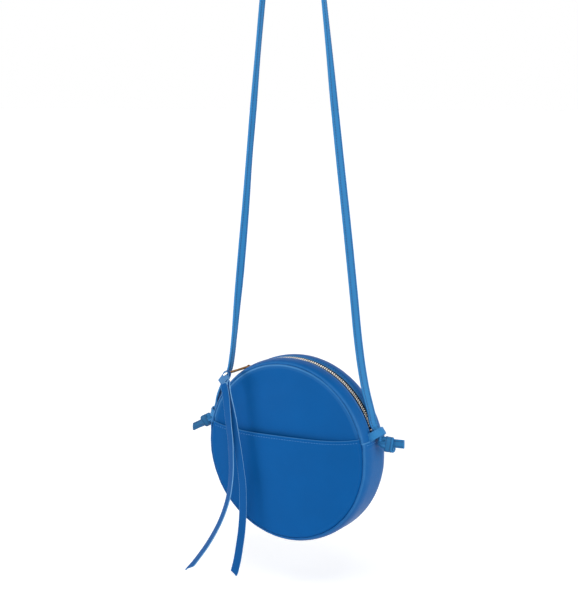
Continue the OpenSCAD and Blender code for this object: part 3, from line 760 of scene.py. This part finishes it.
front_rim = half_depth - pocket_thick - sewn_gap
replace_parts(round_panel("panel_front", front_rim, -1, leather_thick), "front_panel")
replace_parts(round_panel("panel_back", half_depth, 1, leather_thick), "back_panel")


# The outside pocket: a second layer over the lower part of the front. Its top edge is
# folded, dips slightly, stands a little off the panel and has one row of stitches below.
corner_left, corner_right = (
    math.asin((pocket_top + pocket_lift + tilt * pocket_tilt * 0.97) / panel_radius) for tilt in (-1, 1))
end_left, end_right = -panel_radius * math.cos(corner_left), panel_radius * math.cos(corner_right)
fold_radius = pocket_thick / 2
pocket_seam, seam_sunk, mouth_open = 0.0033, 0.00028, 0.0009


def rounding(x, radius):
    """How far a rounded edge has risen at a distance from its tip: 0 at the tip, and 1 past it."""
    return math.sqrt(max(0.0, 1 - max(0.0, 1 - x / radius) ** 2))


def pocket_stand(x, z):
    """How far the pocket's outer face stands out at a place."""
    below = pocket_edge(x) - z
    radius = math.hypot(x, z)
    stand = half_depth + panel_face(radius, math.atan2(z, x))
    stand += mouth_open * bell(below, 0.014) * mouth_share(x)
    stand -= seam_sunk * bell(below - pocket_seam, 0.0006)
    return stand + soft_dent((x, -5, z)) + pucker(math.atan2(z, x), near_seam(radius))


shares = np.r_[0, 0.002, 0.005, 0.009, 0.013, 0.018, 0.023, 0.027, 0.031, 0.035, 0.04, 0.046, 0.055,
               0.07, np.linspace(0.09, 0.93, 44), 0.945, 0.955, 0.965, 0.975, 0.983, 0.99, 0.995, 1]
columns = 220
outer, inner = [], []
for share in shares:
    for k in range(columns + 1):
        s = k / columns
        bottom = math.pi - corner_left + s * (math.pi + corner_left + corner_right)
        top_x = end_left + (end_right - end_left) * (1 - math.cos(math.pi * s)) / 2
        top = np.array([top_x, pocket_edge(top_x)])
        base = panel_radius * np.array([math.cos(bottom), math.sin(bottom)])
        x, z = top + (base - top) * share
        stand = pocket_stand(x, z)
        bevel = fold_radius * (1 - rounding(pocket_edge(x) - z, fold_radius))
        outer.append((x, bevel - stand, z + bag_centre.z))
        inner.append((x, pocket_thick - bevel - stand, z + bag_centre.z))


def band(first, second):
    """The faces between two rows of points, from the numbers of their first points."""
    return [(first + k, first + k + 1, second + k + 1, second + k) for k in range(columns)]


row_step, half = columns + 1, len(outer)
pocket_faces = []
for layer in (0, half):
    for first in range(layer, layer + half - row_step, row_step):
        pocket_faces += band(first, first + row_step)
for first in (0, half - row_step):
    pocket_faces += band(first, first + half)
# A pale line along the pocket's folded top edge: a painted highlight.
pocket_worn = [0.62 * bell(max(0.0, pocket_edge(x) - (z - bag_centre.z)), 0.0005)
               for x, y, z in outer + inner]
pocket = skinned("pocket", outer + inner, pocket_faces, bag_leather, cut=np.zeros(2 * half),
                 worn=pocket_worn)
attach(pocket, "bag")
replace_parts(pocket, "front_pocket")

stitch_line = []
for x in np.linspace(end_left + 0.0015, end_right - 0.0015, 400):
    z = pocket_edge(x) - pocket_seam
    stitch_line.append((x, -pocket_stand(x, z) - 0.00004, z + bag_centre.z))
sewn("pocket_stitches", stitch_line, [(0, -1, 0)] * len(stitch_line), 0.0031, *bag_sewing,
     long=0.0022, radius=0.00021)


# The gusset: a half on each side of the zip over the top, folded under beside it, and one
# band round the bottom that laps over their ends, with a stitched fold at each join.
zip_fold_thick = 0.002
zip_window = 0.0095
zip_end = math.radians(72.5)
join = math.radians(77)


def gusset_radius(y):
    """The gusset's outer radius at a distance from the bag's middle."""
    past = max(0.0, abs(y) - gusset_flat / 2) / (half_depth - gusset_flat / 2)
    return seam_radius + seam_drop * math.sqrt(max(0.0, 1 - past**2))


def seam_lip():
    """The turned-in edge at a seam, from the outside in, as radius and distance from the middle."""
    return [(seam_radius + 0.0012, half_depth - 0.0004), (seam_radius + 0.0007, half_depth - 0.0001),
            (seam_radius + 0.0002, half_depth - 0.0002), (seam_radius - 0.00015, half_depth - 0.0006),
            (seam_radius - 0.00035, half_depth - 0.0013), (seam_radius - 0.0004, half_depth - 0.0024)]


def worn_roll(y):
    """A painted highlight where the gusset rolls over into a seam."""
    return 0.28 * bell(half_depth - abs(y) - 0.0009, 0.0009)


def worn_side(a):
    """A painted sheen on the gusset at the bag's two sides."""
    return 0.16 * math.cos(a) ** 4


def bag_point(a, y, r):
    """A place at an angle round the bag, a distance from its middle, and a radius."""
    return r * math.cos(a), y, r * math.sin(a) + bag_centre.z


def outwards(a):
    """The way out of the gusset at an angle round the bag."""
    return math.cos(a), 0, math.sin(a)


def turned(name, outer, inner, angles, lift, worn_at, replaced):
    """Leather bent round the bag: a section of outer and inner places, carried along the angles."""
    section = [(r, y, 1) for r, y in outer] + [(r, y, 0) for r, y in inner[::-1]]
    rows, worn = [], []
    for a in angles:
        rows.append([])
        for r, y, w in section:
            near = max(0.0, 1 - (half_depth - abs(y)) / 0.006) * w
            dent = soft_dent((math.cos(a) * bag_radius, y, math.sin(a) * bag_radius), 0.00018)
            r = r + w * (lift(a, y) + dent) + pucker(a, near) * 1.3
            rows[-1].append(bag_point(a, y, r))
            # Each outer place takes its painted highlight.
            worn.append(worn_at(a, y) * w)
    piece = skinned(name, *gathered([rows]), bag_leather, cut=np.zeros(len(worn)), worn=worn)
    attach(piece, "bag")
    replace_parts(piece, replaced)


roll_start, roll_end = gusset_flat / 2, half_depth - 0.0006
roll_places = [roll_start + (roll_end - roll_start) * math.sin(u)
               for u in np.linspace(0.06, math.pi / 2 * 0.93, 12)]
rolled = [(gusset_radius(y), y) for y in roll_places]
fold_edge = zip_window / 2
fold_seam, fold_seam_radius = fold_edge + 0.0023, bag_radius - 0.00045
fold_under = bag_radius - zip_fold_thick


def level(a, y):
    """The zip gussets lie on nothing that lifts them."""
    return 0.0


def worn_fold(a, y):
    """Painted highlight on a zip gusset: most along its fold beside the teeth, with the painted highlight
    at the seams and the painted sheen at the sides.
    """
    return 0.8 * bell(abs(y) - fold_edge, 0.0006) + worn_roll(y) + worn_side(a)


for side, sign in (("front", -1), ("back", 1)):
    outer = [(fold_under, fold_edge + 0.0009), (bag_radius - 0.0019, fold_edge + 0.0003),
             (bag_radius - 0.0016, fold_edge), (bag_radius - 0.0012, fold_edge),
             (bag_radius - 0.0008, fold_edge + 0.0003), (bag_radius - 0.0006, fold_edge + 0.0008),
             (bag_radius - 0.00045, fold_edge + 0.0015), (bag_radius - 0.0005, fold_seam),
             (bag_radius - 0.00015, fold_edge + 0.0031), (bag_radius, gusset_flat / 2)]
    outer += rolled + seam_lip()
    inner = [(fold_under, fold_edge + 0.0016), (fold_under, gusset_flat / 2)]
    inner += [(r - leather_thick - 0.0002, y - 0.0003) for r, y in rolled]
    reach = join + math.radians(0.6)
    turned("gusset_" + side, [(r, sign * y) for r, y in outer], [(r, sign * y) for r, y in inner],
           np.linspace(math.pi / 2 - reach, math.pi / 2 + reach, 280), level, worn_fold,
           "zip_gusset_" + side)
    angles = np.linspace(math.pi / 2 - join, math.pi / 2 + join, 500)
    seam = [bag_point(a, sign * fold_seam, fold_seam_radius) for a in angles]
    sewn("gusset_stitches_" + side, seam, [outwards(a) for a in angles], 0.003, *bag_sewing,
         long=0.0021, radius=0.0002)

low_angle, high_angle = math.pi / 2 + join, 5 * math.pi / 2 - join
join_seam, join_rise = 0.0031, 0.00095
lap_rise, lap_reach, lap_tip = 0.0011, 0.0075, 0.0012


def from_join(a):
    """How far round the bag an angle is from the nearer end of the bottom band."""
    return bag_radius * min(abs(a - low_angle), abs(a - high_angle))


def lap(a, y):
    """How the bottom band rises over the ends of the other two, with a rounded fold at its end."""
    rise = lap_rise / (1 + math.exp((from_join(a) - lap_reach) / 0.0012))
    groove = 0.00022 * bell(from_join(a) - join_seam, 0.0006)
    fold = lap_tip * (1 - rounding(from_join(a), 0.0011))
    return rise - groove - fold


def worn_lap(a, y):
    """Painted highlight on the bottom band: most at its folded ends, with the painted highlight at the
    seams and the painted sheen at the sides.
    """
    return min(1.0, bell(from_join(a), 0.0008) + worn_roll(y) + worn_side(a))


flat_places = [(gusset_radius(y), y) for y in np.linspace(0, gusset_flat / 2, 6)[1:]]
outer = flat_places + rolled + seam_lip()
inner = [(r - leather_thick - 0.0001, y) for r, y in flat_places + rolled]
outer = [(r, -y) for r, y in outer[::-1]] + [(bag_radius, 0)] + outer
inner = [(r, -y) for r, y in inner[::-1]] + [(bag_radius - leather_thick, 0)] + inner
ends = np.array([0, 0.1, 0.3, 0.6, 1, 1.5, 2.1, 2.6, 3.1, 3.6, 4.2, 5, 6, 6.8, 7.5, 8.2, 9, 10])
ends *= mm / bag_radius
lap_end = 0.012 / bag_radius
between = np.linspace(low_angle + lap_end, high_angle - lap_end, 300)
turned("gusset_bottom", outer, inner, np.r_[low_angle + ends, between, (high_angle - ends)[::-1]],
       lap, worn_lap, "lower_gusset")
for side, a in (("left", low_angle + join_seam / bag_radius),
                ("right", high_angle - join_seam / bag_radius)):
    ys = np.linspace(-half_depth + 0.0035, half_depth - 0.0035, 60)
    sewn("join_stitches_" + side, [bag_point(a, y, gusset_radius(y) + join_rise) for y in ys],
         [outwards(a)] * len(ys), 0.0031, *bag_sewing, long=0.0022, radius=0.00021)


# The side loops: short bands of doubled leather, stitched along both edges, that arch out
# from the gusset just above each join. The strap runs up behind them and pulls them up.
# The loops take the strap's lighter blue: painted light.
loop_leather = leather("loop_leather", strap_face, strap_edge, 1300.0, 0.4)
loop_section = strip_section(loop_height, loop_thick, 0.0001)
loop_middle = loop_radius - loop_thick / 2
loop_aside, loop_proud = loop_height / 2 - 0.0013, loop_thick / 2 + 0.00009
loop_foot = 0.0025
loop_line = [(-loop_foot, -loop_middle), (-loop_foot / 2, -loop_middle)]
loop_line += [(loop_middle * math.sin(a), -loop_middle * math.cos(a))
              for a in np.linspace(0, math.pi, 25)]
loop_line += [(-loop_foot / 2, loop_middle), (-loop_foot, loop_middle)]
for side, sign in side_sign.items():
    lean = loop_leans[side]
    points = []
    for o, y in loop_line:
        x, z = loop_point(side, o, 0)
        points.append((sign * x, y, z - hang_height, -sign * math.sin(lean), 0, math.cos(lean)))
    line = eased(points, 0.0008)
    loop = strip("side_loop_band_" + side, line, loop_section, loop_leather, "bag", "bag_leather")
    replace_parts(loop, "side_loop_" + side)
    out = strip_frame(line)[1]
    outer_face = np.sign(np.sum(out * (line[:, :3] - line[:, :3].mean(axis=0)), axis=1).sum())
    edge_sewn("loop_stitches_" + side, line, loop_aside, loop_proud, slice(3, -3), 0.0026,
              *bag_sewing, faces=(outer_face,))


# The zip: black woven tapes that are sewn under the folds, with cast teeth along their
# edges. Right of the slider the teeth mesh; left of it they have come a little apart.
tooth_pitch, teeth_radius, chain_radius = 0.0024, 0.0929, 0.092675
slider_angle = math.radians(-36)
teeth_count = 93


def brass(name, tone, rough, patina):
    """Cast brass with a darker skin where fingers don't reach and fine scratches. Where its mesh is
    marked it is painted near white: a painted glint.
    """
    finish = Finish(name, Metallic=1.0, Roughness=rough)
    place = finish.place()
    cloud = finish.spots(place, 420.0, 4.0)
    scratch = finish.spots(place, 2600.0, 3.0, 1.2)
    stain = finish.node("ShaderNodeValToRGB", {"stops": ((0.42, (0, 0, 0, 1)), (0.68, (1, 1, 1, 1)))},
                        {"Fac": cloud})
    skin = finish.mix(stain * 0.55, tone, patina)
    colour = finish.mix(finish.mark("worn"), skin, (0.96, 0.92, 0.86, 1))
    return finish.feed(Base_Color=colour, Roughness=rough + cloud * 0.16 + scratch * 0.08,
                       Normal=finish.relief(scratch, 0.18, 0.0001))


teeth_brass = brass("teeth_brass", (1.0, 0.97, 0.90, 1), 0.08, (0.84, 0.74, 0.58, 1))
puller_brass = brass("puller_brass", (0.34, 0.17, 0.055, 1), 0.24, (0.09, 0.036, 0.011, 1))


parted_start, parted_most, parted_slope, parted_end = math.radians(2.4), 0.0005, 0.12, 0.004


def drop_apart(angle):
    """How far a row of teeth lies out from its meshed place at an angle from the top."""
    past = max(0.0, (slider_angle - parted_start - angle) * teeth_radius)
    fading = min(1.0, (zip_end + angle) * teeth_radius / parted_end)
    return min(parted_most, past * parted_slope) * fading


# Along a tooth, from the tape to its tip: how far across, half its length, half its height
tooth_shape = [(2.2, 0.28, 0.4), (2.1, 0.42, 0.9), (1.85, 0.48, 1.12), (1.0, 0.48, 1.12),
               (0.75, 0.38, 0.75), (0.5, 0.27, 0.4), (-0.1, 0.25, 0.34), (-0.45, 0.22, 0.28),
               (-0.6, 0.12, 0.16)]
corner_shape = [(1, 0.55), (0.75, 0.9), (0, 1), (-0.75, 0.9), (-1, 0.55)]
corner_shape += [(-c, -s) for c, s in corner_shape]
for side, sign in (("front", -1), ("back", 1)):
    teeth_rows = []
    for n in range(teeth_count):
        angle = (n - (teeth_count - 1) / 2 - sign / 4) * tooth_pitch / chain_radius
        radial = np.array([math.sin(angle), 0, math.cos(angle)])
        onward = np.array([math.cos(angle), 0, -math.sin(angle)])
        root = np.array([0, sign * drop_apart(angle), bag_centre.z])
        teeth_rows.append([[root + radial * (teeth_radius + tall * s * mm) + onward * long * c * mm
                            + np.array([0, sign * across * mm, 0]) for c, s in corner_shape]
                           for across, long, tall in tooth_shape])
    teeth = skinned("teeth_" + side, *gathered(teeth_rows), teeth_brass)
    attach(teeth, "bag")
    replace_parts(teeth, "zip_teeth_" + side)


def dressed(material, *nodes):
    """CAD nodes that keep their shape get their material."""
    for node in nodes:
        slots = frame["nodes"][node].data.materials
        slots.clear()
        slots.append(material)


tape = Finish("tape_weave", Roughness=0.9, Specular_IOR_Level=0.08)
tape_place = tape.place()
tape_rib = tape.node("ShaderNodeTexWave", {"bands_direction": "Y"},
                     {"Vector": tape_place, "Scale": 700.0, "Distortion": 1.5})
tape_fluff = tape.spots(tape_place, 3000.0)
tape.feed(Base_Color=tape.dimmed((0.006, 0.006, 0.008, 1), 0.6 + tape_fluff * 0.8),
          Normal=tape.relief(tape_rib + tape_fluff * 0.5, 0.5, 0.0002))
dressed(tape.owner, "zip_tape_front", "zip_tape_back")
dressed(teeth_brass, "zip_stops")


# The slider: two cast plates joined by a post, wide where the open rows go in and narrow
# where the meshed chain comes out, with rails at both sides and an arch for the puller.
radial = Vector((math.sin(slider_angle), 0, math.cos(slider_angle)))
onward = Vector((math.cos(slider_angle), 0, -math.sin(slider_angle)))
plate_top, plate_thick = 0.0948, 0.0008
lower_top = 0.0912
bridge_radius_at = (joint_place("puller_swing") - bag_centre).length


def slider_place(t, y, r):
    """A place on the slider: along the zip, across it, and out from the bag's centre."""
    return bag_centre + onward * t + Vector((0, y, 0)) + radial * r


plate_outline = [(-4.1, 1.0), (-4.25, 2.0), (-4.0, 2.9), (-3.3, 3.55), (-2.2, 3.8), (-0.6, 3.8),
                 (1.0, 3.6), (2.6, 3.2), (3.6, 2.7), (4.15, 2.0), (4.25, 1.0)]
plate_outline += [(t, -y) for t, y in plate_outline[::-1]]
rail_outline = [(-3.2, 3.5), (-2.2, 3.75), (-0.6, 3.75), (1.0, 3.55), (2.6, 3.15), (2.4, 2.75),
                (0.9, 3.15), (-0.6, 3.35), (-2.2, 3.35), (-3.0, 3.15)]
post_outline = [(-0.83, 0), (-0.68, 0.22), (-0.53, 0), (-0.68, -0.22)]


def plate(base, crown):
    """One plate of the slider as a soft-edged casting, in rows from its lower face up."""
    levels = [(0, 0.93), (0.15, 1.0), (0.8, 1.0), (1.0, 0.94), (1.0 + crown, 0.5),
              (1.0 + crown * 1.2, 0.12)]
    return [[slider_place(t * mm * s, y * mm * s, base + plate_thick * level) for t, y in plate_outline]
            for level, s in levels]


castings = [plate(plate_top - plate_thick + 0.0001, 0.2), plate(lower_top - plate_thick, 0.0)]
for sign in (-1, 1):
    for base, height in ((plate_top - plate_thick - 0.0008, 0.001), (lower_top - 0.0001, 0.0006)):
        castings.append([[slider_place(t * mm, sign * y * mm, base + height * level)
                          for t, y in rail_outline] for level in (0, 0.3, 1.0)])
castings.append([[slider_place(t * mm, y * mm, top - plate_thick / 2) for t, y in post_outline]
                 for top in (lower_top, plate_top)])
slider = skinned("zip_slider", *gathered(castings), puller_brass)
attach(slider, "slider")
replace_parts(slider, "slider_body")

wire, arch_half, arch_bend = 0.00065, 2.55, 1.2
bend_foot = bridge_radius_at - arch_bend * mm
arch = [(-arch_half, plate_top - 0.0002), (-arch_half, bend_foot)]
arch += [(arch_bend - arch_half - arch_bend * math.cos(a), bend_foot + arch_bend * mm * math.sin(a))
         for a in np.linspace(0.3, math.pi / 2, 6)]
arch += [(-t, r) for t, r in arch[::-1]]
arch_line = eased([(*slider_place(t * mm, 0, r), 0, 1, 0) for t, r in arch], 0.0003)
wire_section = np.array([(wire * math.cos(a), wire * math.sin(a), 0, 0)
                         for a in round_angles(14)])
bridge = strip("slider_arch", arch_line, wire_section, puller_brass, "slider", "puller_brass")
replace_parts(bridge, "slider_bridge")


# The puller: one brass casting. A round eye rides on the arch, a flat bar lies across the
# front of the gusset, and a round neck with a cross end keeps the lace from slipping off.
corners = 20


def puller_row(y, half_wide, half_thick, sharp):
    """One rounded outline across the puller, at a distance to the front of the arch."""
    row = []
    for a in round_angles(corners):
        c, s = math.cos(a), math.sin(a)
        scale = (abs(c) ** sharp + abs(s) ** sharp) ** (-1 / sharp) * mm
        row.append(slider_place(half_wide * c * scale, -y * mm,
                                bridge_radius_at + half_thick * s * scale))
    return row


bar_shape = [(1.15, 1.15, 0.55, 3), (1.6, 1.35, 0.85, 4), (2.4, 1.5, 0.98, 6), (4.0, 1.78, 1.0, 7),
             (6.0, 1.8, 1.0, 7), (14.0, 1.72, 0.98, 7), (24.0, 1.72, 0.98, 7), (33.0, 1.8, 1.0, 7),
             (35.4, 1.78, 1.0, 6), (36.3, 1.5, 1.0, 4), (36.8, 1.2, 1.15, 2.2)]
neck_shape = [(37.2, 1.15, 1.15, 2), (41.3, 1.15, 1.15, 2), (41.75, 1.25, 1.1, 2.4), (41.9, 2.3, 0.8, 4),
              (42.1, 2.7, 0.85, 6), (42.9, 2.75, 0.85, 6), (43.2, 2.5, 0.7, 5), (43.3, 2.0, 0.4, 4)]
eye_shape = [(-1.2, 1.07), (-1.4, 1.2), (-1.4, 1.5), (-1.15, 1.7)]
eye_shape += [(-t, r) for t, r in eye_shape[::-1]]
eye_rows = []
for a in round_angles(36):
    way = Vector((0, -math.cos(a), 0)) + radial * math.sin(a)
    eye_rows.append([slider_place(t * mm, 0, bridge_radius_at) + way * r * mm for t, r in eye_shape])
points, faces = gathered([[puller_row(*row) for row in bar_shape + neck_shape]], [eye_rows])
# The neck and cross end are painted near white: a painted glint.
rub_and_glint = np.zeros(len(points))
rub_and_glint[corners * len(bar_shape):corners * len(bar_shape + neck_shape)] = 1
puller = skinned("puller", points, faces, puller_brass, worn=rub_and_glint)
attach(puller, "puller")
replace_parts(puller, "zip_puller")


# Inside: plain cotton lining, with a stiffening board between it and each leather panel,
# and cotton facings that cover the backs of the zip tapes.
cloth = Finish("lining_cotton", Roughness=0.9, Sheen_Weight=0.1)
cloth_place = cloth.place()
warp, weft = (cloth.node("ShaderNodeTexWave", {"bands_direction": way},
                         {"Vector": cloth_place, "Scale": 520.0}) for way in ("X", "Z"))
slub = cloth.spots(cloth_place, 900.0)
cloth.feed(Base_Color=cloth.dimmed((0.10, 0.10, 0.125, 1), 0.8 + slub * 0.4),
           Normal=cloth.relief(warp * weft + slub * 0.3, 0.5, 0.0002))
fibre = Finish("board_fibre", Roughness=0.8)
fleck = fibre.spots(fibre.place(), 700.0, 6.0)
fibre.feed(Base_Color=fibre.dimmed((0.60, 0.52, 0.42, 1), 0.8 + fleck * 0.4),
           Normal=fibre.relief(fleck, 0.4, 0.0002))
dressed(cloth.owner, "front_lining", "back_lining", "gusset_lining", "zip_facing_front",
        "zip_facing_back")
dressed(fibre.owner, "front_board", "back_board")
